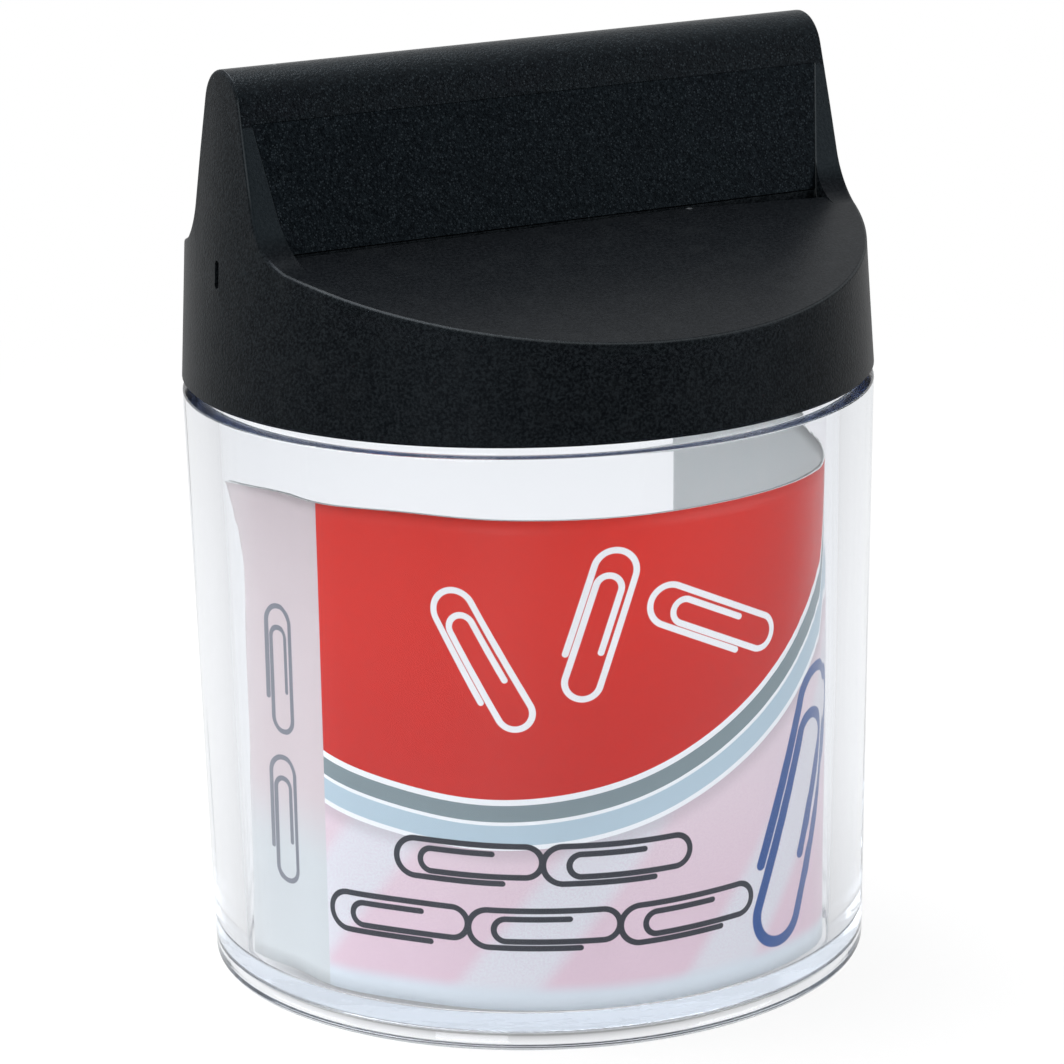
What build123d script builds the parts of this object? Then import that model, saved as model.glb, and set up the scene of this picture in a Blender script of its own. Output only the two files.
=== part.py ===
"""Paper clip jar with a push-on cap whose upright grip holds a bar magnet.

Millimetres. The jar stands on z = 0 with its axis on Z.
The grip runs along X, and its front looks along -Y.
"""

import os
from math import cos, hypot, radians, sin, sqrt, tan

from build123d import *

# Overall size
rim_radius = 29.0  # cap's lower edge
rim_height = 50.5  # cap's lower edge above the table
cap_height = 27.5  # cap's lower edge to the top of the grip

# Jar
jar_flare = 1.0  # how much the jar's radius grows from the table to the cap's edge
jar_wall = 2.8
floor_thickness = 2.6  # inside floor above the table
foot_width = 2.4  # ring that the jar stands on
foot_round = 0.5
foot_recess = 1.1  # how far the middle of the floor is raised off the table
recess_taper = 0.15  # how much the recess's radius falls from the table to the floor
recess_round = 0.4
floor_fillet = 0.3
neck_round = 0.35
bead_rise = 2.0  # middle of the grip bead above the cap's lower edge
bead_height = 1.4

# Cap
cap_draft = 3.34  # degrees that the cap's side leans in
fit_draft = 2.5  # degrees that the skirt's bore and the neck lean in
skirt_wall = 1.2  # at the lower edge
skirt_front = 7.7  # height of the skirt at its lowest, front and back
shoulder_pitch = 13.66  # degrees that the shoulders fall outwards
roof_thickness = 1.6
rim_chamfer = 0.25
edge_round = 0.3

# Grip on top of the cap
crest_radius = 3.2
flank_lean = 14.1  # degrees that the grip's faces lean from upright
cove_radius = 5.2  # hollow corner at each end of the grip
end_wall_top = 1.0  # end wall beside the face plate, at the plate's top
end_wall_foot = 2.75  # the same, at the plate's foot
plate_drop = 4.0  # plate's top edge below the crest
plate_thickness = 1.2
plate_seat = 1.2  # width of the frame behind the plate's edges
rib_thickness = 1.2
rib_count = 3
rib_spacing = 16.0
rib_trim = 1.0  # ribs stop this far from the sill and from the magnet's top
magnet_chamfer = 0.4

# Slot in the shoulder along the foot of each plate, where it can be prised out
slot_width = 0.4  # along most of its length
slot_mouth = 1.6  # width at its open end
slot_knee = 12.0  # from the middle to where it starts to open
slot_depth = 0.9

# Mark left on the cap's side where it was moulded
gate_length = 2.3
gate_width = 0.7
gate_depth = 0.35
gate_drop = 2.1  # middle of the mark below the grip's sill

# Card curled in the jar
card_height = 41.2
card_thickness = 0.3
card_slack = 2.3  # widest gap between the card and the jar's wall
# Pairs of degrees round from the front, and the gap there as a share of the widest
card_bend = [
    (-95, 0.25),
    (-79, 0.56),
    (-54, 0.83),
    (-14, 0.2),
    (15, 0.26),
    (45, 0.26),
    (70, 0.48),
    (118, 0.3),
]

# Clearances
rim_gap = 0.85  # cap's lower edge to the jar's ledge
neck_gap = 0.1  # neck to skirt, all round
bead_gap = 0.05  # bead to skirt
neck_top_gap = 0.1  # neck's top to the cap's roof, which comes to rest on it
plate_gap = 0.04  # plate to the sides and top of its pocket
plate_back_gap = 0.05
foot_gap = 0.1  # under the plate's foot
magnet_gap = 0.1
card_gap = 0.1  # card's lower edge to the floor


def cap_radius(height):
    """Outer radius of the cap's side at a height."""
    return rim_radius - (height - rim_height) * tan(radians(cap_draft))


def jar_radius(height):
    """Outer radius of the jar's wall at a height."""
    return base_radius + (rim_radius - base_radius) * height / rim_height


def bore_radius(height):
    """Inner radius of the skirt at a height."""
    return rim_radius - skirt_wall - (height - rim_height) * tan(radians(fit_draft))


def shoulder_height(depth):
    """Height of the sloping shoulder at a depth in front of or behind the middle."""
    front_height = rim_height + skirt_front
    return front_height + (cap_radius(front_height) - depth) * tan(radians(shoulder_pitch))


def flank_depth(height):
    """Depth of the grip's leaning face at a height."""
    below_centre = crest_height - crest_radius - height
    return (crest_radius + below_centre * sin(radians(flank_lean))) / cos(radians(flank_lean))


def grip_half_length(height):
    """Distance from the middle to the grip's end, measured along its face."""
    return sqrt(cap_radius(height) ** 2 - flank_depth(height) ** 2)


base_radius = rim_radius - jar_flare
ledge_height = rim_height - rim_gap
crest_height = rim_height + cap_height

# The sill is where the grip's face, carried straight down, meets the shoulder
lean = radians(flank_lean)
pitch = radians(shoulder_pitch)
ridge_above_crest_centre = shoulder_height(0) - (crest_height - crest_radius)
sill_depth = (crest_radius - ridge_above_crest_centre * sin(lean)) / (cos(lean) - tan(pitch) * sin(lean))
sill_height = shoulder_height(sill_depth)

# Heights and lengths that follow from the sizes above
plate_top = crest_height - plate_drop
pocket_half_top = grip_half_length(plate_top) - end_wall_top
pocket_half_foot = grip_half_length(sill_height) - end_wall_foot
pocket_slant = (pocket_half_top - pocket_half_foot) / (plate_top - sill_height)
plate_run = plate_thickness / cos(lean)
pocket_run = (plate_thickness + plate_back_gap) / cos(lean)
window_top = plate_top - plate_seat
roof_drop = roof_thickness / cos(pitch)
ceiling_height = sill_height - roof_thickness
ceiling_depth = (shoulder_height(0) - roof_drop - ceiling_height) / tan(pitch)
neck_height = shoulder_height(bore_radius(rim_height)) - roof_drop - neck_top_gap
neck_wall_top = bore_radius(neck_height) - neck_gap
magnet_top = window_top - magnet_gap
magnet_half_depth = flank_depth(magnet_top) - pocket_run - magnet_gap
magnet_half_length = pocket_half_foot - plate_seat - magnet_gap
beyond = 1.2 * rim_radius  # past the cap's side, for sections that cut right across it


def on_cap_side(edge):
    """Whether an edge lies on the cap's tapered side, up where the shoulders and the grip meet it."""
    middle = edge @ 0.5
    off_side = hypot(middle.X, middle.Y) - cap_radius(middle.Z)
    return abs(off_side) < edge_round / 10 and middle.Z > rim_height + skirt_front / 2


# Section across the grip, seen with the front to the right
front_section = Plane(origin=(0, 0, 0), x_dir=(0, -1, 0), z_dir=(-1, 0, 0))


def pocket_half(height):
    """Half length of the plate's pocket at a height; its ends slant in towards the sill."""
    return pocket_half_top - (plate_top - height) * pocket_slant


# Jar, one turned section
with BuildPart() as jar:
    with BuildSketch(Plane.XZ) as jar_section:
        with BuildLine():
            neck_root = bore_radius(ledge_height) - neck_gap
            bead_foot = rim_height + bead_rise - bead_height / 2
            bead_middle = rim_height + bead_rise
            bead_head = rim_height + bead_rise + bead_height / 2
            Polyline(
                (bore_radius(bead_head) - neck_gap, bead_head),
                (neck_wall_top, neck_height),
                (jar_radius(neck_height) - jar_wall, neck_height),
                (jar_radius(floor_thickness) - jar_wall, floor_thickness),
                (0, floor_thickness),
                (0, foot_recess),
                (base_radius - foot_width - recess_taper, foot_recess),
                (base_radius - foot_width, 0),
                (base_radius, 0),
                (jar_radius(ledge_height), ledge_height),
                (neck_root, ledge_height),
                (bore_radius(bead_foot) - neck_gap, bead_foot),
            )
            ThreePointArc(
                (bore_radius(bead_foot) - neck_gap, bead_foot),
                (bore_radius(bead_middle) - bead_gap, bead_middle),
                (bore_radius(bead_head) - neck_gap, bead_head),
            )
        make_face()
        fillet(jar_section.vertices().sort_by_distance((base_radius, 0))[0], foot_round)
        recess_corner = (base_radius - foot_width - recess_taper, foot_recess)
        fillet(jar_section.vertices().sort_by_distance(recess_corner)[0], recess_round)
        inner_corner = (jar_radius(floor_thickness) - jar_wall, floor_thickness)
        fillet(jar_section.vertices().sort_by_distance(inner_corner)[0], floor_fillet)
        fillet(jar_section.vertices().sort_by_distance((neck_wall_top, neck_height))[0], neck_round)
    revolve(axis=Axis.Z)
jar.part.label = "jar"

# Space for one face plate: behind the grip's face, and everything in front of it down to the shoulder
with BuildPart() as plate_pocket:
    with BuildSketch(front_section):
        with BuildLine():
            Polyline(
                (flank_depth(sill_height) - pocket_run, sill_height),
                (flank_depth(plate_top) - pocket_run, plate_top),
                (beyond, plate_top),
                (beyond, shoulder_height(beyond)),
                (sill_depth, sill_height),
                close=True,
            )
        make_face()
    extrude(amount=beyond, both=True)
    with BuildSketch(Plane.XZ):
        with BuildLine():
            Polyline(
                (-pocket_half(rim_height), rim_height),
                (pocket_half(rim_height), rim_height),
                (pocket_half(plate_top), plate_top),
                (-pocket_half(plate_top), plate_top),
                close=True,
            )
        make_face()
    extrude(amount=beyond, both=True, mode=Mode.INTERSECT)

# Slot along the foot of the front plate, which opens towards one end
with BuildPart() as prise_slot:
    with BuildSketch(Plane.XY.offset(sill_height - slot_depth)):
        with BuildLine():
            Polyline(
                (-pocket_half_foot, -sill_depth),
                (pocket_half_foot, -sill_depth),
                (pocket_half_foot, -sill_depth - slot_mouth),
                (slot_knee, -sill_depth - slot_width),
                (-pocket_half_foot, -sill_depth - slot_width),
                close=True,
            )
        make_face()
    extrude(amount=2 * slot_depth)

# Hollow inside the cap, under a flat ceiling and two sloping roofs
with BuildPart() as cap_hollow:
    with BuildSketch(Plane.XY.offset(rim_height)):
        Circle(bore_radius(rim_height))
    extrude(amount=ceiling_height - rim_height, taper=fit_draft)
    with BuildSketch(front_section):
        with BuildLine():
            Polyline(
                (-beyond, rim_height),
                (beyond, rim_height),
                (beyond, shoulder_height(beyond) - roof_drop),
                (ceiling_depth, ceiling_height),
                (-ceiling_depth, ceiling_height),
                (-beyond, shoulder_height(beyond) - roof_drop),
                close=True,
            )
        make_face()
    extrude(amount=beyond, both=True, mode=Mode.INTERSECT)

# Cap: a tapered plug cut to the grip's section, then hollowed and pocketed
with BuildPart() as cap_shell:
    with BuildSketch(Plane.XZ):
        with BuildLine():
            Polyline(
                (0, rim_height),
                (rim_radius - rim_chamfer, rim_height),
                (cap_radius(rim_height + rim_chamfer), rim_height + rim_chamfer),
                (cap_radius(crest_height), crest_height),
                (0, crest_height),
                close=True,
            )
        make_face()
    revolve(axis=Axis.Z)
    with BuildSketch(front_section) as grip_section:
        tangent_depth = crest_radius * cos(lean)
        tangent_height = crest_height - crest_radius + crest_radius * sin(lean)
        with BuildLine():
            Polyline(
                (tangent_depth, tangent_height),
                (sill_depth, sill_height),
                (beyond, shoulder_height(beyond)),
                (beyond, rim_height),
                (-beyond, rim_height),
                (-beyond, shoulder_height(beyond)),
                (-sill_depth, sill_height),
                (-tangent_depth, tangent_height),
            )
            ThreePointArc(
                (-tangent_depth, tangent_height),
                (0, crest_height),
                (tangent_depth, tangent_height),
            )
        make_face()
        fillet(grip_section.vertices().sort_by_distance((sill_depth, sill_height))[0], cove_radius)
        fillet(grip_section.vertices().sort_by_distance((-sill_depth, sill_height))[0], cove_radius)
    extrude(amount=beyond, both=True, mode=Mode.INTERSECT)
    curved_edges = cap_shell.edges().filter_by(GeomType.LINE, reverse=True)
    fillet([edge for edge in curved_edges if on_cap_side(edge)], edge_round)
    add(cap_hollow.part, mode=Mode.SUBTRACT)
    add(plate_pocket.part, mode=Mode.SUBTRACT)
    add(plate_pocket.part.rotate(Axis.Z, 180), mode=Mode.SUBTRACT)
    add(prise_slot.part, mode=Mode.SUBTRACT)
    add(prise_slot.part.rotate(Axis.Z, 180), mode=Mode.SUBTRACT)
    with BuildSketch(Plane.XZ):
        with BuildLine():
            Polyline(
                (-pocket_half(sill_height) + plate_seat, sill_height),
                (pocket_half(sill_height) - plate_seat, sill_height),
                (pocket_half(window_top) - plate_seat, window_top),
                (-pocket_half(window_top) + plate_seat, window_top),
                close=True,
            )
        make_face()
    extrude(amount=beyond, both=True, mode=Mode.SUBTRACT)
    gate_height = sill_height - gate_drop
    gate_floor = (gate_depth - cap_radius(gate_height), 0, gate_height)
    with BuildSketch(Plane(origin=gate_floor, x_dir=(0, 1, 0), z_dir=(-1, 0, 0))):
        SlotOverall(gate_length, gate_width, rotation=90)
    extrude(amount=gate_depth * 2, mode=Mode.SUBTRACT)
cap_shell.part.label = "cap_shell"

# Face plate with ribs that hold the magnet in the middle of the grip
with BuildPart() as front_face_plate:
    with BuildSketch(front_section):
        with BuildLine():
            Polyline(
                (flank_depth(sill_height) - plate_run, sill_height),
                (flank_depth(sill_height), sill_height),
                (flank_depth(plate_top), plate_top),
                (flank_depth(plate_top) - plate_run, plate_top),
                close=True,
            )
        make_face()
    extrude(amount=beyond, both=True)
    with BuildSketch(Plane.XZ):
        with BuildLine():
            plate_foot = sill_height + foot_gap
            plate_head = plate_top - plate_gap
            Polyline(
                (-pocket_half(plate_foot) + plate_gap, plate_foot),
                (pocket_half(plate_foot) - plate_gap, plate_foot),
                (pocket_half(plate_head) - plate_gap, plate_head),
                (-pocket_half(plate_head) + plate_gap, plate_head),
                close=True,
            )
        make_face()
    extrude(amount=beyond, both=True, mode=Mode.INTERSECT)
    rib_foot = sill_height + rib_trim
    rib_head = magnet_top - rib_trim
    rib_depth = magnet_half_depth + magnet_gap
    for rib in range(rib_count):
        rib_place = (rib - (rib_count - 1) / 2) * rib_spacing
        with BuildSketch(front_section.offset(-rib_place)):
            with BuildLine():
                Polyline(
                    (rib_depth, rib_foot),
                    (flank_depth(rib_foot) - plate_run / 2, rib_foot),
                    (flank_depth(rib_head) - plate_run / 2, rib_head),
                    (rib_depth, rib_head),
                    close=True,
                )
            make_face()
        extrude(amount=rib_thickness / 2, both=True)
front_face_plate.part.label = "front_face_plate"

# The rear plate is the same moulding, turned half round
with BuildPart() as rear_face_plate:
    add(front_face_plate.part.rotate(Axis.Z, 180))
rear_face_plate.part.label = "rear_face_plate"

# Bar magnet, standing on the sill between the two plates' ribs
with BuildPart() as bar_magnet:
    with BuildSketch(Plane.XY.offset(sill_height)):
        Rectangle(2 * magnet_half_length, 2 * magnet_half_depth)
    extrude(amount=magnet_top - sill_height)
    chamfer(bar_magnet.edges(), magnet_chamfer)
bar_magnet.part.label = "bar_magnet"

# Card curled inside the jar
with BuildPart() as label_insert:
    with BuildSketch(Plane.XY.offset(floor_thickness + card_gap)):
        wall_radius = jar_radius(floor_thickness) - jar_wall
        with BuildLine():
            Spline(
                [
                    Vector(0, card_slack * share - wall_radius).rotate(Axis.Z, turn)
                    for turn, share in card_bend
                ]
            )
        trace(line_width=card_thickness)
    extrude(amount=card_height)
label_insert.part.label = "label_insert"

os.makedirs("parts", exist_ok=True)
export_step(jar.part, "parts/jar.step")
export_step(cap_shell.part, "parts/cap_shell.step")
export_step(front_face_plate.part, "parts/front_face_plate.step")
export_step(rear_face_plate.part, "parts/rear_face_plate.step")
export_step(bar_magnet.part, "parts/bar_magnet.step")
export_step(label_insert.part, "parts/label_insert.step")
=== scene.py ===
"""Looks of a clear paper clip jar with a black cap, whose upright grip holds a bar magnet.

Metres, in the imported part's frame: the jar stands on z = 0 with its axis on Z, the grip runs along X,
and its front looks along -Y. Turns are degrees round the axis, from the front towards +X.
"""

from math import cos, radians, tan

import bpy
import numpy as np
from mathutils import Matrix, Vector


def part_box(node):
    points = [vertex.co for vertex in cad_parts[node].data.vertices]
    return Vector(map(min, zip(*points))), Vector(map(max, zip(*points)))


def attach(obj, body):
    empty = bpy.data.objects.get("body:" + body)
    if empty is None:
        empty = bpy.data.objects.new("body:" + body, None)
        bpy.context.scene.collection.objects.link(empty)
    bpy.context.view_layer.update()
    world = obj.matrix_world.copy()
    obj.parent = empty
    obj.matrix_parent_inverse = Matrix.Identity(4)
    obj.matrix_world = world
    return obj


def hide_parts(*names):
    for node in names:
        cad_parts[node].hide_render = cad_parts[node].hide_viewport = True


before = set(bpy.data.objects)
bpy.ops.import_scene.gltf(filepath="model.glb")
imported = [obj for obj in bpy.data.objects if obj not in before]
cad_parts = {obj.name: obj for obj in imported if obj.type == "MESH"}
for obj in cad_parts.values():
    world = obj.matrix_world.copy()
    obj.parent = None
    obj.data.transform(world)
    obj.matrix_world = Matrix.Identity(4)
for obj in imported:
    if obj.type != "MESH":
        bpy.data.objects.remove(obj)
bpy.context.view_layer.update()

MM = 0.001

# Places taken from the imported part
_, JAR_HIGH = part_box("jar")
CAP_LOW, CAP_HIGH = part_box("cap_shell")
CARD_LOW, CARD_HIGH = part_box("label_insert")
RIM_RADIUS = 29.0 * MM
RIM_HEIGHT = CAP_LOW.z
NECK_HEIGHT = JAR_HIGH.z

# Jar
BASE_RADIUS = 28.0 * MM
JAR_WALL = 2.8 * MM
FLOOR_THICKNESS = 2.6 * MM
FOOT_WIDTH = 2.4 * MM
FOOT_ROUND = 0.5 * MM
FOOT_RECESS = 1.1 * MM
RECESS_TAPER = 0.15 * MM
RECESS_ROUND = 0.4 * MM
FLOOR_FILLET = 0.3 * MM
RIM_GAP = 0.85 * MM
NECK_INSET = 1.3 * MM
NECK_DRAFT = radians(2.5)
BEAD_RISE = 2.0 * MM
BEAD_HEIGHT = 1.4 * MM
BEAD_SWELL = 0.05 * MM
SMALL_ROUND = 0.15 * MM
JAR_SEGMENTS = 256
ARC_POINTS = 9

# Card curled in the jar
CARD_THICKNESS = 0.3 * MM
CARD_START = -95.0
CARD_END = 118.5
CARD_RADIUS = 24.65 * MM
CARD_COLUMNS = 321
CARD_ROWS = 33

# Cap
CAP_DRAFT = radians(3.34)
SHOULDER_PITCH = radians(13.66)
RIDGE_HEIGHT = 65.139 * MM
FLANK_LEAN = radians(14.1)
CREST_RADIUS = 3.2 * MM
SILL_HEIGHT = 63.657 * MM
PLATE_TOP = 74.0 * MM
POCKET_HALF_TOP = 26.406 * MM
POCKET_SLANT = 0.1533
# Small chip on the lip of the front slot, where it starts to widen
CHIP_PLACE = (12.0 * MM, -6.5 * MM, 63.56 * MM)

# Camera at the photograph's place
CAMERA_PLACE = (-167.0 * MM, -301.9 * MM, 130.3 * MM)
CAMERA_HEADING = radians(-28.96)
CAMERA_PITCH = radians(15.303)
CAMERA_ROLL = radians(-1.142)
CAMERA_LENS = 142.486

# Way to the dim side of the studio, behind the camera, and the shares of light missing there and opposite it
DIM_SIDE = (-0.48, -0.87, 0.0)
DIM_SHARE = 0.78
FAR_SHARE = 0.17
# The dimming grows between these cosines of the angle to the dim side
DIM_FROM = -0.85
DIM_TO = -0.1
# On the floor, ways are measured from a point this far from the axis towards the dim side
DIM_LEAD = 30 * MM

# Light of the white surroundings on dull surfaces
WORLD_LIGHT = 0.52

# Floor: its size and place, the ring where its painted shadow under the jar brightens, and the ring where it
# fades to white
FLOOR_REACH = 3.0
FLOOR_SIDES = 64
FLOOR_DROP = 0.05 * MM
PAINTED_SHADOW_UNDER_JAR = (21.5 * MM, 25 * MM)
FLOOR_FADE = (0.08, 0.25)

# Blacks of the cap and its plates, as linear colours; the glint, sheen, crest and edge colours among them
# are painted light
GRAIN_DARK = (0.0003, 0.0007, 0.0013, 1)
GRAIN_LIGHT = (0.0036, 0.0055, 0.0070, 1)
PAINTED_GLINT = (0.019, 0.0245, 0.0285, 1)
SIDE_DARK = (0.0011, 0.0017, 0.0024, 1)
SIDE_LIGHT = (0.0092, 0.0116, 0.0135, 1)
TOP_DARK = (0.0022, 0.0028, 0.0037, 1)
TOP_LIGHT = (0.0074, 0.0086, 0.0102, 1)
WORN_BLOTCH = (0.0120, 0.0136, 0.0150, 1)
PAINTED_SHEEN_BESIDE_PLATE = (0.0100, 0.0140, 0.0165, 1)
PAINTED_CREST_HIGHLIGHT = (0.024, 0.028, 0.031, 1)
PAINTED_EDGE_HIGHLIGHT = (0.046, 0.052, 0.055, 1)
SPECK = (0.15, 0.16, 0.17, 1)


def paint(red, green, blue):
    """Linear colour of an 8-bit screen colour."""
    share = np.array([red, green, blue]) / 255
    linear = np.where(share <= 0.04045, share / 12.92, ((share + 0.055) / 1.055) ** 2.4)
    return (*linear.tolist(), 1.0)


def mesh_piece(name, points, faces, materials, index=0, normals=None):
    """Smooth object at the origin from points and faces, with materials and each face's material number."""
    mesh = bpy.data.meshes.new(name)
    mesh.from_pydata(points.tolist(), [], faces)
    for one in materials:
        mesh.materials.append(one)
    count = len(mesh.polygons)
    mesh.polygons.foreach_set("use_smooth", np.ones(count, bool))
    mesh.polygons.foreach_set("material_index", np.zeros(count, int) + index)
    if normals is not None:
        mesh.normals_split_custom_set_from_vertices(normals.tolist())
    mesh.update()
    piece = bpy.data.objects.new(name, mesh)
    bpy.context.scene.collection.objects.link(piece)
    return piece


def rounded_outline(corners, rounds):
    """Points and outward normals along an outline whose inner corners are arcs.

    Each corner gives way to an arc tangent to both of its sides. The arc's centre lies on the bisector,
    its radius over the sine of half the corner's angle away.
    """
    corner = corners[1:-1]
    back = corners[:-2] - corner
    ahead = corners[2:] - corner
    back /= np.linalg.norm(back, axis=1, keepdims=True)
    ahead /= np.linalg.norm(ahead, axis=1, keepdims=True)
    middle = back + ahead
    middle /= np.linalg.norm(middle, axis=1, keepdims=True)
    half_cos = np.sum(middle * back, axis=1)
    half_sin = np.sqrt(1 - half_cos**2)
    centre = corner + middle * (rounds / half_sin)[:, None]
    reach = (rounds * half_cos / half_sin)[:, None]
    first = corner + back * reach - centre
    last = corner + ahead * reach - centre
    start = np.arctan2(first[:, 1], first[:, 0])
    sweep = np.arctan2(last[:, 1], last[:, 0]) - start
    sweep = (sweep + np.pi) % (2 * np.pi) - np.pi
    angle = start[:, None] + sweep[:, None] * np.linspace(0, 1, ARC_POINTS)
    spoke = np.stack([np.cos(angle), np.sin(angle)], axis=2)
    points = centre[:, None] + rounds[:, None, None] * spoke
    normals = np.sign(sweep)[:, None, None] * spoke
    return points.reshape(-1, 2), normals.reshape(-1, 2)


def jar_outline():
    """Corners of the jar's section: from the underside's middle, up the outside and down inside.

    Each row is a radius, a height, the corner's round, and 1 where the strip after the corner is the ledge,
    whose dark tint is painted shade.
    """
    flare = (RIM_RADIUS - BASE_RADIUS) / RIM_HEIGHT
    ledge = RIM_HEIGHT - RIM_GAP

    def wall_radius(height):
        return BASE_RADIUS + flare * height

    def neck_radius(height):
        return RIM_RADIUS - NECK_INSET - (height - RIM_HEIGHT) * tan(NECK_DRAFT)

    bead = RIM_HEIGHT + BEAD_RISE
    bead_low = bead - BEAD_HEIGHT / 2
    bead_high = bead + BEAD_HEIGHT / 2
    rows = [
        (0, FOOT_RECESS, 0, 0),
        (BASE_RADIUS - FOOT_WIDTH - RECESS_TAPER, FOOT_RECESS, RECESS_ROUND, 0),
        (BASE_RADIUS - FOOT_WIDTH, 0, SMALL_ROUND, 0),
        (BASE_RADIUS, 0, FOOT_ROUND, 0),
        (wall_radius(ledge), ledge, SMALL_ROUND, 1),
        (neck_radius(ledge), ledge, SMALL_ROUND, 0),
        (neck_radius(bead_low), bead_low, SMALL_ROUND, 0),
        (neck_radius(bead) + BEAD_SWELL, bead, BEAD_HEIGHT, 0),
        (neck_radius(bead_high), bead_high, SMALL_ROUND, 0),
        (neck_radius(NECK_HEIGHT), NECK_HEIGHT, SMALL_ROUND * 2, 0),
        (wall_radius(NECK_HEIGHT) - JAR_WALL, NECK_HEIGHT, SMALL_ROUND, 0),
        (wall_radius(FLOOR_THICKNESS) - JAR_WALL, FLOOR_THICKNESS, FLOOR_FILLET, 0),
        (0, FLOOR_THICKNESS, 0, 0),
    ]
    table = np.array(rows)
    return table[:, :2], table[1:-1, 2], table[1:-1, 3].astype(int)


def turned(name, corners, rounds, marks, materials):
    """Closed body turned round the axis: point = (r cos t, r sin t, z) for a rounded outline (r, z)."""
    outline, lean = rounded_outline(corners, rounds)
    count = len(outline)
    turn = np.linspace(0, 2 * np.pi, JAR_SEGMENTS, endpoint=False)
    cosine, sine = np.cos(turn)[:, None], np.sin(turn)[:, None]
    flat = np.ones_like(cosine)
    ring = np.stack([cosine * outline[:, 0], sine * outline[:, 0], flat * outline[:, 1]], axis=2)
    ring_normal = np.stack([cosine * lean[:, 0], sine * lean[:, 0], flat * lean[:, 1]], axis=2)
    poles = np.array([[0, 0, corners[0, 1]], [0, 0, corners[-1, 1]]])
    points = np.concatenate([ring.reshape(-1, 3), poles])
    normals = np.concatenate([ring_normal.reshape(-1, 3), [[0, 0, -1], [0, 0, 1]]])
    here = np.arange(JAR_SEGMENTS)[:, None] * count
    beside = np.roll(here, -1, axis=0)
    step = np.arange(count - 1)
    quads = np.stack([here + step, beside + step, beside + step + 1, here + step + 1], axis=2)
    under = np.full_like(here, JAR_SEGMENTS * count)
    lower_fan = np.concatenate([under, beside, here], axis=1)
    upper_fan = np.concatenate([under + 1, here + count - 1, beside + count - 1], axis=1)
    faces = quads.reshape(-1, 4).tolist() + lower_fan.tolist() + upper_fan.tolist()
    strip = np.where(step % ARC_POINTS == ARC_POINTS - 1, marks[step // ARC_POINTS], 0)
    index = np.concatenate([np.tile(strip, JAR_SEGMENTS), np.zeros(2 * JAR_SEGMENTS, int)])
    return mesh_piece(name, points, faces, materials, index, normals)


def hump(turn, middle, width):
    """Bell curve that is 1 at its middle."""
    return np.exp(-(((turn - middle) / width) ** 2))


def card_radius(turn, rise):
    """Card's distance from the axis at a turn in degrees and a rise, 0 at its foot and 1 at its top.

    A steady radius, pressed in left of the front, standing out at the front, creased at the fold,
    with its left corner sprung out towards the wall.
    """
    pressed = (0.6 + 0.75 * rise) * hump(turn, -54, 15)
    bulge = 0.3 * hump(turn, -12, 13)
    far_dip = 0.5 * hump(turn, 66, 15)
    left_dip = 0.75 * hump(turn, -82, 9)
    sprung = np.clip((-80 - turn) / 15, 0, 1) ** 1.5
    corner = sprung * (0.05 + 0.25 * (1 - rise) + 0.9 * np.clip((rise - 0.82) / 0.18, 0, 1) ** 1.3)
    lean = 0.25 * rise
    return CARD_RADIUS + (bulge - pressed - far_dip - left_dip + corner + lean) * MM


def curled_card(name, materials):
    """Thin closed sheet: its middle surface is (r sin t, -r cos t, z), with half the thickness to each side.

    The section's loop runs up the outer face and down the inner one, and is carried along the curl.
    The map's first axis is the length along the card and its second the height, both in metres.
    """
    turn = np.linspace(CARD_START, CARD_END, CARD_COLUMNS)[:, None]
    rise = np.linspace(0, 1, CARD_ROWS)[None, :]
    radius = card_radius(turn, rise)
    height = CARD_LOW.z + (CARD_HIGH.z - CARD_LOW.z) * rise + 0 * turn
    angle = np.radians(turn) + 0 * rise
    middle = np.stack([radius * np.sin(angle), -radius * np.cos(angle), height], axis=2)
    along = np.gradient(middle, axis=0)
    upward = np.gradient(middle, axis=1)
    out = np.cross(along, upward)
    out /= np.linalg.norm(out, axis=2, keepdims=True)
    outer = middle + out * CARD_THICKNESS / 2
    inner = middle - out * CARD_THICKNESS / 2
    loop = np.concatenate([outer, inner[:, ::-1]], axis=1)
    count = loop.shape[1]
    here = np.arange(CARD_COLUMNS - 1)[:, None] * count
    step = np.arange(count)
    after = np.roll(step, -1)
    quads = np.stack([here + step, here + count + step, here + count + after, here + after], axis=2)
    row = np.arange(CARD_ROWS - 1)
    near_edge = np.stack([row, row + 1, count - 2 - row, count - 1 - row], axis=1)
    far_edge = near_edge[:, ::-1] + (CARD_COLUMNS - 1) * count
    faces = quads.reshape(-1, 4).tolist() + near_edge.tolist() + far_edge.tolist()
    printed = np.broadcast_to(step < CARD_ROWS - 1, (CARD_COLUMNS - 1, count)).ravel()
    index = np.concatenate([np.where(printed, 0, 1), np.ones(2 * (CARD_ROWS - 1), int)])
    piece = mesh_piece(name, loop.reshape(-1, 3), faces, materials, index)
    strides = np.linalg.norm(np.diff(middle[:, CARD_ROWS // 2], axis=0), axis=1)
    length = np.concatenate([[0], np.cumsum(strides)])
    flat = np.stack([length[:, None] + 0 * rise, height - CARD_LOW.z], axis=2)
    flat_loop = np.concatenate([flat, flat[:, ::-1]], axis=1).reshape(-1, 2)
    corner_points = np.zeros(len(piece.data.loops), int)
    piece.data.loops.foreach_get("vertex_index", corner_points)
    layer = piece.data.uv_layers.new(name="flat")
    layer.data.foreach_set("uv", flat_loop[corner_points].ravel())
    return piece


# Node helpers: each takes sockets or plain values and gives back a socket


def feed(tree, target, value):
    """Links a socket to an input, or sets the input to a plain value."""
    if isinstance(value, bpy.types.NodeSocket):
        tree.links.new(value, target)
    else:
        target.default_value = value


def maths(tree, operation, first, second=0.0, third=0.0, clamp=False):
    node = tree.nodes.new("ShaderNodeMath")
    node.operation = operation
    node.use_clamp = clamp
    for target, value in zip(node.inputs, (first, second, third)):
        feed(tree, target, value)
    return node.outputs[0]


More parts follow.
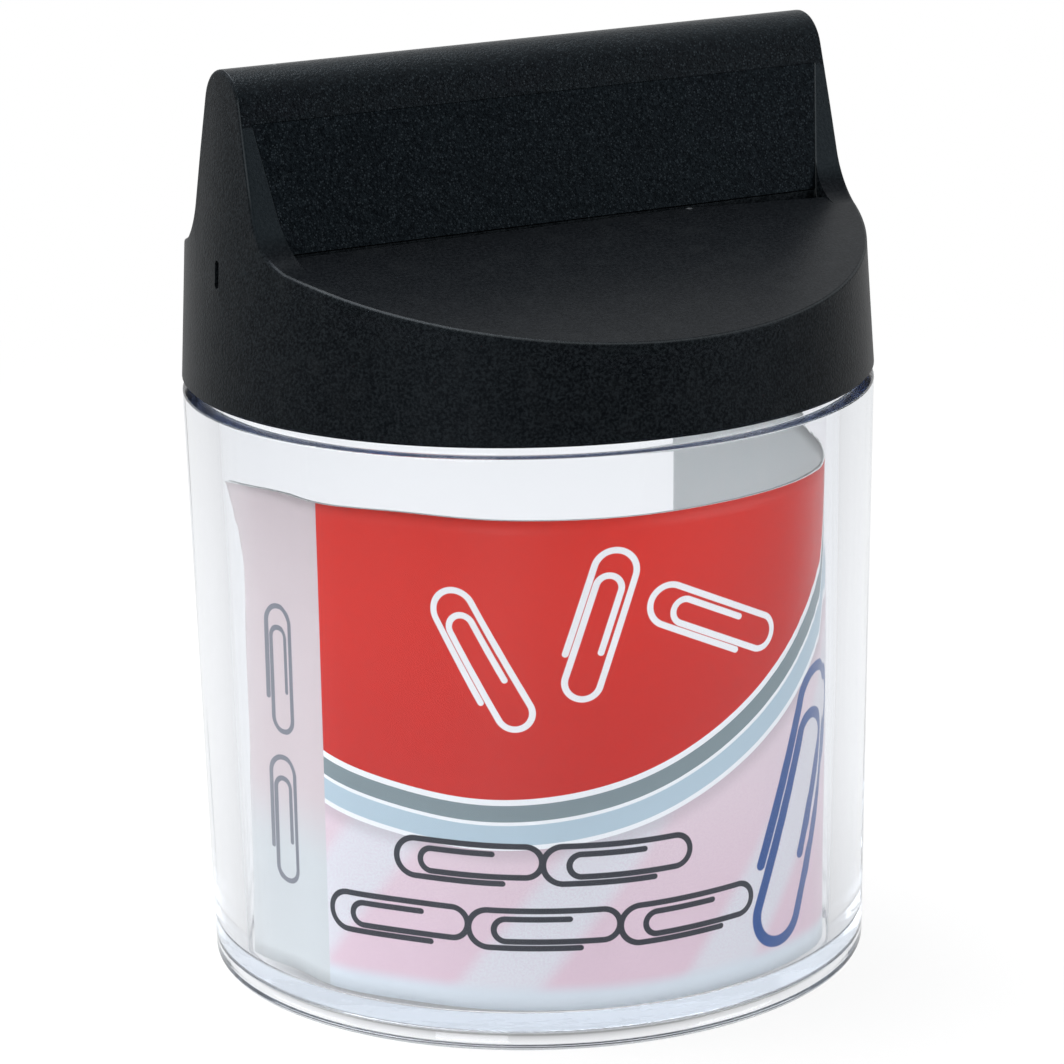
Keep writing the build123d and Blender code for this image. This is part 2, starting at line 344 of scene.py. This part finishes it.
def vector_maths(tree, operation, first, second=(0, 0, 0), scale=1.0):
    node = tree.nodes.new("ShaderNodeVectorMath")
    node.operation = operation
    feed(tree, node.inputs[0], first)
    feed(tree, node.inputs[1], second)
    feed(tree, node.inputs[3], scale)
    return node.outputs[1] if operation in ("LENGTH", "DOT_PRODUCT") else node.outputs[0]


def joined(tree, x, y, z=0.0):
    node = tree.nodes.new("ShaderNodeCombineXYZ")
    for target, value in zip(node.inputs, (x, y, z)):
        feed(tree, target, value)
    return node.outputs[0]


def split(tree, vector):
    node = tree.nodes.new("ShaderNodeSeparateXYZ")
    feed(tree, node.inputs[0], vector)
    return node.outputs["X"], node.outputs["Y"], node.outputs["Z"]


def mixed(tree, share, below, above):
    """Colour that goes from below to above as the share goes from 0 to 1."""
    node = tree.nodes.new("ShaderNodeMix")
    node.data_type = "RGBA"
    feed(tree, node.inputs["Factor"], share)
    feed(tree, node.inputs["A"], below)
    feed(tree, node.inputs["B"], above)
    return next(socket for socket in node.outputs if socket.type == "RGBA")


def ranged(tree, value, low, high, to_low=0.0, to_high=1.0):
    """Value carried smoothly from one range into another, and held at its ends."""
    node = tree.nodes.new("ShaderNodeMapRange")
    node.interpolation_type = "SMOOTHSTEP"
    for target, given in zip(node.inputs, (value, low, high, to_low, to_high)):
        feed(tree, target, given)
    return node.outputs[0]


def noise(tree, place, scale, detail=2.0, roughness=0.5):
    node = tree.nodes.new("ShaderNodeTexNoise")
    feed(tree, node.inputs["Vector"], place)
    node.inputs["Scale"].default_value = scale
    node.inputs["Detail"].default_value = detail
    node.inputs["Roughness"].default_value = roughness
    return node.outputs["Fac"]


def cells(tree, place, scale):
    """Distance to the nearest of many scattered points, in cells, and that point's own random share."""
    node = tree.nodes.new("ShaderNodeTexVoronoi")
    feed(tree, node.inputs["Vector"], place)
    node.inputs["Scale"].default_value = scale
    return node.outputs["Distance"], split(tree, node.outputs["Color"])[0]


def bumped(tree, height, depth, strength=1.0):
    """Normal of a surface raised by a height from 0 to 1, which stands for a depth in metres."""
    node = tree.nodes.new("ShaderNodeBump")
    node.inputs["Strength"].default_value = strength
    node.inputs["Distance"].default_value = depth
    feed(tree, node.inputs["Height"], height)
    return node.outputs["Normal"]


def placed(tree, output="Object"):
    return tree.nodes.new("ShaderNodeTexCoord").outputs[output]


def material(name):
    """New material, its node tree and its Principled shader."""
    made = bpy.data.materials.new(name)
    made.use_nodes = True
    return made, made.node_tree, made.node_tree.nodes["Principled BSDF"]


def dust(tree, place, spread):
    """Share that is 1 on a few small scattered specks."""
    distance, chance = cells(tree, place, spread)
    near = ranged(tree, distance, 0.035, 0.02)
    return maths(tree, "MULTIPLY", near, maths(tree, "GREATER_THAN", chance, 0.55))


def coarse_grain(tree, place):
    """Colour and height of a coarse eroded grain, with a painted glint on a few of its facets."""
    distance, chance = cells(tree, place, 5600)
    grain = noise(tree, place, 3000, 3.0, 0.65)
    body = mixed(tree, ranged(tree, grain, 0.35, 0.7), GRAIN_DARK, GRAIN_LIGHT)
    facet = ranged(tree, chance, 0.4, 1.0)
    # Painted highlight: a few facets get a lighter colour that stands in for their glint
    painted_glint = maths(tree, "MULTIPLY", facet, ranged(tree, distance, 0.6, 0.15))
    colour = mixed(tree, painted_glint, body, PAINTED_GLINT)
    return colour, maths(tree, "MULTIPLY_ADD", distance, 0.5, grain)


def painted_edge_lines(tree, x, y, z):
    """Share that is 1 along the cap's rounded edges, where a paler colour is painted on as an edge
    highlight.

    Each face is a sum that is zero on it: the side's cone, the shoulder's plane, the grip's leaning plane
    and the slanting end of the plate's pocket. An edge is where two of the sums are near zero.
    """

    def close(value):
        return ranged(tree, maths(tree, "ABSOLUTE", value), 0.17 * MM, 0.05 * MM)

    depth = maths(tree, "ABSOLUTE", y)
    radius = vector_maths(tree, "LENGTH", joined(tree, x, y))
    side_offset = RIM_RADIUS + RIM_HEIGHT * tan(CAP_DRAFT)
    side = maths(tree, "SUBTRACT", maths(tree, "MULTIPLY_ADD", z, tan(CAP_DRAFT), radius), side_offset)
    sloping = maths(tree, "MULTIPLY_ADD", depth, tan(SHOULDER_PITCH), z)
    shoulder = maths(tree, "SUBTRACT", sloping, RIDGE_HEIGHT)
    crest_centre = CAP_HIGH.z - CREST_RADIUS
    flank_offset = CREST_RADIUS / cos(FLANK_LEAN) + crest_centre * tan(FLANK_LEAN)
    flank = maths(tree, "SUBTRACT", maths(tree, "MULTIPLY_ADD", z, tan(FLANK_LEAN), depth), flank_offset)
    across = maths(tree, "ABSOLUTE", x)
    end_offset = POCKET_HALF_TOP - PLATE_TOP * POCKET_SLANT
    pocket_end = maths(tree, "SUBTRACT", maths(tree, "MULTIPLY_ADD", z, -POCKET_SLANT, across), end_offset)
    on_grip = ranged(tree, z, SILL_HEIGHT + 3 * MM, SILL_HEIGHT + 6 * MM)
    grip_edge = maths(tree, "MULTIPLY", maths(tree, "MULTIPLY", close(side), close(flank)), on_grip)
    off_grip = ranged(tree, flank, 1 * MM, 12 * MM, 0.0, 0.6)
    arc_edge = maths(tree, "MULTIPLY", maths(tree, "MULTIPLY", close(side), close(shoulder)), off_grip)
    below_top = maths(tree, "LESS_THAN", z, PLATE_TOP)
    # The painted highlight on the pocket's end runs only along its right end
    right_end = maths(tree, "MULTIPLY", below_top, maths(tree, "GREATER_THAN", x, 0.0))
    along_end = maths(tree, "MULTIPLY", close(pocket_end), close(flank))
    pocket_edge = maths(tree, "MULTIPLY", along_end, right_end)
    return maths(tree, "MAXIMUM", maths(tree, "MAXIMUM", grip_edge, arc_edge), pocket_edge)


def cap_plastic():
    """Black moulded plastic: fine grain on the sides, coarse on the grip, smoother where it faces up, with
    painted highlights on its edges and crest and a painted sheen beside the plates.
    """
    made, tree, shader = material("black_plastic")
    place = placed(tree)
    x, y, z = split(tree, place)
    sideways, facing, upward = split(tree, placed(tree, "Normal"))
    level = ranged(tree, upward, 0.35, 0.9)
    grain = noise(tree, place, 4200, 2.0, 0.65)
    blotch = noise(tree, place, 420, 3.0, 0.6)
    side = mixed(tree, ranged(tree, grain, 0.35, 0.7), SIDE_DARK, SIDE_LIGHT)
    top = mixed(tree, ranged(tree, grain, 0.3, 0.75), TOP_DARK, TOP_LIGHT)
    body = mixed(tree, level, side, top)
    body = mixed(tree, ranged(tree, blotch, 0.45, 0.8, 0.0, 0.3), body, WORN_BLOTCH)
    coarse, coarse_height = coarse_grain(tree, place)
    above_sill = ranged(tree, z, SILL_HEIGHT, SILL_HEIGHT + 2 * MM)
    upright = ranged(tree, maths(tree, "ABSOLUTE", facing), 0.55, 0.9)
    beside_plate = maths(tree, "MULTIPLY", upright, above_sill)
    # Painted sheen: the upright faces beside the plates are coloured paler and bluer
    body = mixed(tree, maths(tree, "MULTIPLY", beside_plate, 0.6), body, PAINTED_SHEEN_BESIDE_PLATE)
    lengthways = ranged(tree, maths(tree, "ABSOLUTE", sideways), 0.7, 0.4)
    on_face = maths(tree, "MULTIPLY", lengthways, maths(tree, "GREATER_THAN", z, PLATE_TOP - 0.2 * MM))
    # Painted highlight: the crest is coloured lighter the more it faces up, as if lit from above
    crest = mixed(tree, ranged(tree, upward, 0.3, 0.9, 0.0, 0.34), coarse, PAINTED_CREST_HIGHLIGHT)
    body = mixed(tree, on_face, body, crest)
    # Painted highlight along the rounded edges
    edged = mixed(tree, maths(tree, "MULTIPLY", painted_edge_lines(tree, x, y, z), 0.7), body, PAINTED_EDGE_HIGHLIGHT)
    from_chip = vector_maths(tree, "LENGTH", vector_maths(tree, "SUBTRACT", place, CHIP_PLACE))
    chip = ranged(tree, from_chip, 0.4 * MM, 0.1 * MM, 0.0, 0.5)
    specks = maths(tree, "MAXIMUM", dust(tree, place, 190), chip)
    feed(tree, shader.inputs["Base Color"], mixed(tree, specks, edged, SPECK))
    feed(tree, shader.inputs["Roughness"], ranged(tree, upward, 0.35, 0.9, 0.42, 0.28))
    shader.inputs["Specular IOR Level"].default_value = 0.07
    shader.inputs["Specular Tint"].default_value = (0.72, 0.86, 1.0, 1)
    fine_height = maths(tree, "MULTIPLY", grain, ranged(tree, upward, 0.35, 0.9, 0.9, 0.2))
    height = maths(tree, "MULTIPLY_ADD", on_face, coarse_height, fine_height)
    feed(tree, shader.inputs["Normal"], bumped(tree, height, 0.045 * MM))
    return made


def plate_plastic():
    """Black moulded plastic with a coarse eroded grain all over, and painted glints on a few facets."""
    made, tree, shader = material("grained_black_plastic")
    colour, height = coarse_grain(tree, placed(tree))
    feed(tree, shader.inputs["Base Color"], colour)
    feed(tree, shader.inputs["Roughness"], ranged(tree, height, 0.4, 1.0, 0.52, 0.4))
    shader.inputs["Specular IOR Level"].default_value = 0.05
    shader.inputs["Specular Tint"].default_value = (0.62, 0.82, 1.0, 1)
    feed(tree, shader.inputs["Normal"], bumped(tree, height, 0.045 * MM))
    return made


def ferrite():
    """Sintered magnet: dull dark grey with a fine speckle."""
    made, tree, shader = material("ferrite")
    place = placed(tree)
    speckle = noise(tree, place, 5200, 4.0, 0.7)
    cloud = noise(tree, place, 300, 2.0)
    body = mixed(tree, ranged(tree, speckle, 0.35, 0.7), (0.045, 0.045, 0.050, 1), (0.105, 0.105, 0.112, 1))
    clouded = mixed(tree, ranged(tree, cloud, 0.4, 0.8, 0.0, 0.4), body, (0.07, 0.068, 0.066, 1))
    feed(tree, shader.inputs["Base Color"], clouded)
    feed(tree, shader.inputs["Roughness"], ranged(tree, speckle, 0.3, 0.7, 0.62, 0.48))
    shader.inputs["Specular IOR Level"].default_value = 0.4
    feed(tree, shader.inputs["Normal"], bumped(tree, speckle, 0.03 * MM))
    return made


def clear_plastic(name, colour, roughness):
    """Clear moulded polystyrene with faint upright flow lines, bluer where deep; lamps shine through it."""
    made, tree, shader = material(name)
    shader.inputs["Base Color"].default_value = colour
    shader.inputs["Roughness"].default_value = roughness
    shader.inputs["IOR"].default_value = 1.5
    shader.inputs["Transmission Weight"].default_value = 1.0
    stretched = vector_maths(tree, "MULTIPLY", placed(tree), (1, 1, 0.04))
    flow = noise(tree, stretched, 420, 2.0)
    feed(tree, shader.inputs["Normal"], bumped(tree, flow, 0.012 * MM))
    passing = tree.nodes.new("ShaderNodeBsdfTransparent")
    passing.inputs["Color"].default_value = (0.96, 0.965, 0.97, 1)
    either = tree.nodes.new("ShaderNodeMixShader")
    path = tree.nodes.new("ShaderNodeLightPath")
    feed(tree, either.inputs["Fac"], path.outputs["Is Shadow Ray"])
    feed(tree, either.inputs[1], shader.outputs["BSDF"])
    feed(tree, either.inputs[2], passing.outputs["BSDF"])
    output = tree.nodes["Material Output"]
    feed(tree, output.inputs["Surface"], either.outputs["Shader"])
    inside = tree.nodes.new("ShaderNodeVolumeAbsorption")
    inside.inputs["Color"].default_value = (0.80, 0.85, 0.91, 1)
    inside.inputs["Density"].default_value = 30
    feed(tree, output.inputs["Volume"], inside.outputs[0])
    return made


# Print on the card, in millimetres along the card and up it

FOLD = 10.0
DISC_CENTRE = (24.0, 60.0)
DISC_RADIUS = 42.0
RED = paint(214, 31, 13)
DEEP_RED = paint(198, 23, 11)
WHITE = paint(240, 243, 245)
BLUE = paint(36, 78, 142)
DARK = paint(44, 48, 58)
# Stripes outside the red disc: where each ends, and its colour
STRIPES = [
    (0.5, WHITE),
    (1.9, paint(126, 142, 147)),
    (2.2, WHITE),
    (3.9, paint(178, 199, 211)),
    (4.3, WHITE),
]
# Clips: place of the middle, tilt in degrees, size, and colour
CLIPS = [
    (24.0, 29.5, 28.0, 0.42, WHITE),
    (33.0, 32.5, -18.0, 0.42, WHITE),
    (43.0, 31.5, 64.0, 0.42, WHITE),
    (52.5, 13.5, -22.0, 0.78, BLUE),
    (16.5, 7.0, 90.0, 0.40, DARK),
    (28.5, 7.0, 90.0, 0.40, DARK),
    (40.5, 7.0, 90.0, 0.40, DARK),
    (22.5, 12.5, 90.0, 0.40, DARK),
    (34.5, 12.5, 90.0, 0.40, DARK),
    (4.5, 26.0, 0.0, 0.36, paint(120, 124, 134)),
    (4.5, 13.0, 0.0, 0.36, paint(120, 124, 134)),
    (72.0, 28.0, 12.0, 0.60, RED),
    (82.0, 14.0, -30.0, 0.60, BLUE),
]
# Bends of a clip 30 mm long: middle, radius, which way it opens, and where its left and right legs end
BENDS = [
    (0.0, 11.0, 4.0, 1, -7.0, -11.5),
    (0.7, -11.5, 3.3, -1, 7.5, 11.0),
    (-0.2, 7.5, 2.4, 1, -11.5, -5.0),
]
WIRE = 0.62


def clip_group():
    """Node group that gives the distance from a place to a clip's bent wire.

    Each bend is an arc with two straight legs: the distance from the arc's middle, with the way along a leg
    left out, less the radius. Past a leg's end the way back to the end is added at a right angle.
    """
    tree = bpy.data.node_groups.new("clip_distance", "ShaderNodeTree")
    tree.interface.new_socket("Place", in_out="INPUT", socket_type="NodeSocketVector")
    tree.interface.new_socket("Distance", in_out="OUTPUT", socket_type="NodeSocketFloat")
    given = tree.nodes.new("NodeGroupInput")
    taken = tree.nodes.new("NodeGroupOutput")
    x, y, _ = split(tree, given.outputs[0])
    nearest = 99.0
    for middle_x, middle_y, radius, way, left_end, right_end in BENDS:
        across = maths(tree, "SUBTRACT", x, middle_x)
        along = maths(tree, "MULTIPLY", maths(tree, "SUBTRACT", y, middle_y), way)
        beyond = maths(tree, "MAXIMUM", along, 0.0)
        reach = vector_maths(tree, "LENGTH", joined(tree, across, beyond))
        off_wire = maths(tree, "ABSOLUTE", maths(tree, "SUBTRACT", reach, radius))
        left_leg = (left_end - middle_y) * way
        right_leg = (right_end - middle_y) * way
        on_right = maths(tree, "GREATER_THAN", across, 0.0)
        leg_end = maths(tree, "MULTIPLY_ADD", on_right, right_leg - left_leg, left_leg)
        past_end = maths(tree, "MAXIMUM", maths(tree, "SUBTRACT", leg_end, along), 0.0)
        distance = vector_maths(tree, "LENGTH", joined(tree, off_wire, past_end))
        nearest = maths(tree, "MINIMUM", nearest, distance)
    feed(tree, taken.inputs[0], nearest)
    return tree


def printed_card():
    """Satin print: a red disc with pale stripes round it, over pink and pale bands, strewn with clips."""
    made, tree, shader = material("printed_face")
    flat = vector_maths(tree, "SCALE", placed(tree, "UV"), scale=1 / MM)
    along, up, _ = split(tree, flat)
    slant = maths(tree, "MULTIPLY_ADD", along, 0.8, maths(tree, "MULTIPLY", up, -0.6))
    wave = maths(tree, "SINE", maths(tree, "MULTIPLY", slant, 0.42))
    pink = mixed(tree, ranged(tree, up, 0, 26), paint(222, 196, 208), paint(226, 212, 218))
    ground = mixed(tree, ranged(tree, wave, 0.1, 0.75), pink, paint(220, 222, 227))
    dots = noise(tree, flat, 6.0, 1.0)
    ground = mixed(tree, ranged(tree, dots, 0.35, 0.7, 0.0, 0.3), ground, paint(205, 176, 196))
    ground = mixed(tree, ranged(tree, up, 2.6, 1.2), ground, paint(212, 220, 227))
    from_centre = vector_maths(tree, "SUBTRACT", flat, (*DISC_CENTRE, 0))
    outside = maths(tree, "SUBTRACT", vector_maths(tree, "LENGTH", from_centre), DISC_RADIUS)
    shade = ranged(tree, outside, STRIPES[-1][0] + 1.6, STRIPES[-1][0], 0.0, 0.35)
    colour = mixed(tree, shade, ground, paint(150, 140, 150))
    for end, stripe in reversed(STRIPES):
        colour = mixed(tree, maths(tree, "LESS_THAN", outside, end), colour, stripe)
    red = mixed(tree, ranged(tree, outside, -18, 0), RED, DEEP_RED)
    colour = mixed(tree, maths(tree, "LESS_THAN", outside, 0.0), colour, red)
    panel = mixed(tree, ranged(tree, up, 10, 17), paint(203, 208, 210), paint(207, 194, 197))
    colour = mixed(tree, maths(tree, "LESS_THAN", along, FOLD), colour, panel)
    group = clip_group()
    for clip_along, clip_up, tilt, size, ink in CLIPS:
        moved = tree.nodes.new("ShaderNodeMapping")
        moved.vector_type = "TEXTURE"
        moved.inputs["Location"].default_value = (clip_along, clip_up, 0)
        moved.inputs["Rotation"].default_value = (0, 0, radians(tilt))
        moved.inputs["Scale"].default_value = (size, size, 1)
        feed(tree, moved.inputs["Vector"], flat)
        bent = tree.nodes.new("ShaderNodeGroup")
        bent.node_tree = group
        feed(tree, bent.inputs[0], moved.outputs[0])
        colour = mixed(tree, ranged(tree, bent.outputs[0], WIRE * 1.15, WIRE * 0.85), colour, ink)
    feed(tree, shader.inputs["Base Color"], colour)
    feed(tree, shader.inputs["Roughness"], ranged(tree, dots, 0.3, 0.7, 0.42, 0.5))
    shader.inputs["Specular IOR Level"].default_value = 0.3
    return made


def card_back():
    """Unprinted side and edges of the card: white pulp with fine fibres."""
    made, tree, shader = material("plain_back")
    place = placed(tree)
    fibre = noise(tree, vector_maths(tree, "MULTIPLY", place, (1, 1, 0.3)), 2200, 3.0)
    cloud = noise(tree, place, 160, 2.0)
    pulp = mixed(tree, ranged(tree, fibre, 0.3, 0.7), paint(248, 252, 252), paint(252, 254, 254))
    clouded = mixed(tree, ranged(tree, cloud, 0.4, 0.7, 0.0, 0.4), pulp, paint(245, 250, 251))
    feed(tree, shader.inputs["Base Color"], clouded)
    shader.inputs["Roughness"].default_value = 0.8
    feed(tree, shader.inputs["Normal"], bumped(tree, fibre, 0.01 * MM))
    return made


clear = clear_plastic("clear_plastic", paint(251, 252, 254), 0.015)
# Painted shade: the ledge under the cap is tinted dark blue in place of the dark cap reflected in it
ledge_painted_shade = clear_plastic("clear_plastic_ledge_painted_shade", paint(52, 60, 88), 0.12)
jar = turned("jar_clear", *jar_outline(), [clear, ledge_painted_shade])
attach(jar, "jar")
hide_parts("jar")

card = curled_card("label_card", [printed_card(), card_back()])
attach(card, "jar")
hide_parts("label_insert")

plate_black = plate_plastic()
kept_nodes = {
    "cap_shell": cap_plastic(),
    "front_face_plate": plate_black,
    "rear_face_plate": plate_black,
    "bar_magnet": ferrite(),
}
for name, made in kept_nodes.items():
    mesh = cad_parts[name].data
    mesh.materials.clear()
    mesh.materials.append(made)


def photo_camera():
    """Camera at the photograph's place: headed, pitched down, then rolled about its own view line."""
    data = bpy.data.cameras.new("photo_camera")
    data.sensor_width = 36
    data.lens = CAMERA_LENS
    data.clip_start = 0.01
    camera = bpy.data.objects.new("photo_camera", data)
    heading = Matrix.Rotation(CAMERA_HEADING, 4, "Z")
    pitch = Matrix.Rotation(radians(90) - CAMERA_PITCH, 4, "X")
    roll = Matrix.Rotation(CAMERA_ROLL, 4, "Z")
    camera.matrix_world = Matrix.Translation(CAMERA_PLACE) @ heading @ pitch @ roll
    bpy.context.scene.collection.objects.link(camera)
    bpy.context.scene.camera = camera


def softbox(name, place, size, power):
    """Square lamp that looks at the middle of the object."""
    data = bpy.data.lights.new(name, "AREA")
    data.size = size
    data.energy = power
    lamp = bpy.data.objects.new(name, data)
    lamp.location = place
    aim = Vector((0, 0, NECK_HEIGHT / 2)) - lamp.location
    lamp.rotation_mode = "QUATERNION"
    lamp.rotation_quaternion = aim.to_track_quat("-Z", "Y")
    lamp.visible_camera = False
    bpy.context.scene.collection.objects.link(lamp)


def reflected_light(tree, way):
    """Strength of the surroundings along a way: 1, or less towards the dim side after one reflection."""
    facing = vector_maths(tree, "DOT_PRODUCT", vector_maths(tree, "NORMALIZE", way), DIM_SIDE)
    path = tree.nodes.new("ShaderNodeLightPath")
    reflected = maths(tree, "COMPARE", path.outputs["Glossy Depth"], 1.0, 0.5)
    share = ranged(tree, facing, DIM_FROM, DIM_TO, FAR_SHARE, DIM_SHARE)
    return maths(tree, "SUBTRACT", 1.0, maths(tree, "MULTIPLY", reflected, share))


def white_world():
    """White where the camera, a reflection or glass looks at it, and dimmer as a light."""
    world = bpy.data.worlds.new("studio")
    bpy.context.scene.world = world
    world.use_nodes = True
    tree = world.node_tree
    dim = tree.nodes["Background"]
    dim.inputs["Color"].default_value = (1, 1, 1, 1)
    dim.inputs["Strength"].default_value = WORLD_LIGHT
    white = tree.nodes.new("ShaderNodeBackground")
    white.inputs["Color"].default_value = (1, 1, 1, 1)
    feed(tree, white.inputs["Strength"], reflected_light(tree, placed(tree, "Generated")))
    path = tree.nodes.new("ShaderNodeLightPath")
    seen = maths(tree, "ADD", path.outputs["Is Glossy Ray"], path.outputs["Is Transmission Ray"])
    first = maths(tree, "LESS_THAN", path.outputs["Diffuse Depth"], 0.5)
    shown = maths(tree, "MULTIPLY_ADD", seen, first, path.outputs["Is Camera Ray"], clamp=True)
    either = tree.nodes.new("ShaderNodeMixShader")
    feed(tree, either.inputs["Fac"], shown)
    feed(tree, either.inputs[1], dim.outputs[0])
    feed(tree, either.inputs[2], white.outputs[0])
    feed(tree, tree.nodes["World Output"].inputs["Surface"], either.outputs[0])


def pale_floor():
    """Round pale floor: a painted shadow under the jar, a faint cast shadow near it and plain white farther
    off.
    """
    made, tree, shader = material("floor")
    tree.nodes.remove(shader)
    lit = tree.nodes.new("ShaderNodeBsdfDiffuse")
    lit.inputs["Color"].default_value = (0.6, 0.6, 0.6, 1)
    faint = tree.nodes.new("ShaderNodeBsdfDiffuse")
    faint.inputs["Color"].default_value = (0.1, 0.1, 0.1, 1)
    glow = tree.nodes.new("ShaderNodeEmission")
    white = tree.nodes.new("ShaderNodeEmission")
    pivot = [DIM_LEAD * part for part in DIM_SIDE]
    light = reflected_light(tree, vector_maths(tree, "SUBTRACT", placed(tree), pivot))
    away = vector_maths(tree, "LENGTH", placed(tree))
    # Painted shadow: the floor's glow is lowered in a disc under the jar
    open_floor = ranged(tree, away, *PAINTED_SHADOW_UNDER_JAR, 0.3, 0.88)
    feed(tree, glow.inputs["Strength"], maths(tree, "MULTIPLY", light, open_floor))
    feed(tree, white.inputs["Strength"], light)
    near = tree.nodes.new("ShaderNodeAddShader")
    shown = tree.nodes.new("ShaderNodeMixShader")
    path = tree.nodes.new("ShaderNodeLightPath")
    either = tree.nodes.new("ShaderNodeMixShader")
    feed(tree, near.inputs[0], faint.outputs[0])
    feed(tree, near.inputs[1], glow.outputs[0])
    feed(tree, shown.inputs["Fac"], ranged(tree, away, *FLOOR_FADE))
    feed(tree, shown.inputs[1], near.outputs[0])
    feed(tree, shown.inputs[2], white.outputs[0])
    feed(tree, either.inputs["Fac"], path.outputs["Is Diffuse Ray"])
    feed(tree, either.inputs[1], shown.outputs[0])
    feed(tree, either.inputs[2], lit.outputs[0])
    feed(tree, tree.nodes["Material Output"].inputs["Surface"], either.outputs[0])
    turn = np.linspace(0, 2 * np.pi, FLOOR_SIDES, endpoint=False)
    across = FLOOR_REACH * np.cos(turn)
    along = FLOOR_REACH * np.sin(turn)
    points = np.stack([across, along, 0 * turn - FLOOR_DROP], axis=1)
    mesh_piece("floor", points, [list(range(FLOOR_SIDES))], [made])


photo_camera()
white_world()
pale_floor()
softbox("overhead", (-0.1, 0.2, 0.65), 0.5, 7.5)
softbox("left_fill", (-0.52, -0.39, 0.13), 0.3, 1.1)
softbox("right_fill", (0.45, -0.45, 0.25), 0.4, 1.75)
softbox("rear_fill", (-0.5, 0.28, 0.25), 0.4, 1.15)

scene = bpy.context.scene
scene.view_settings.view_transform = "Standard"
# Light runs round many times inside the clear wall and floor
scene.cycles.max_bounces = 32
scene.cycles.glossy_bounces = 32
scene.cycles.transmission_bounces = 32
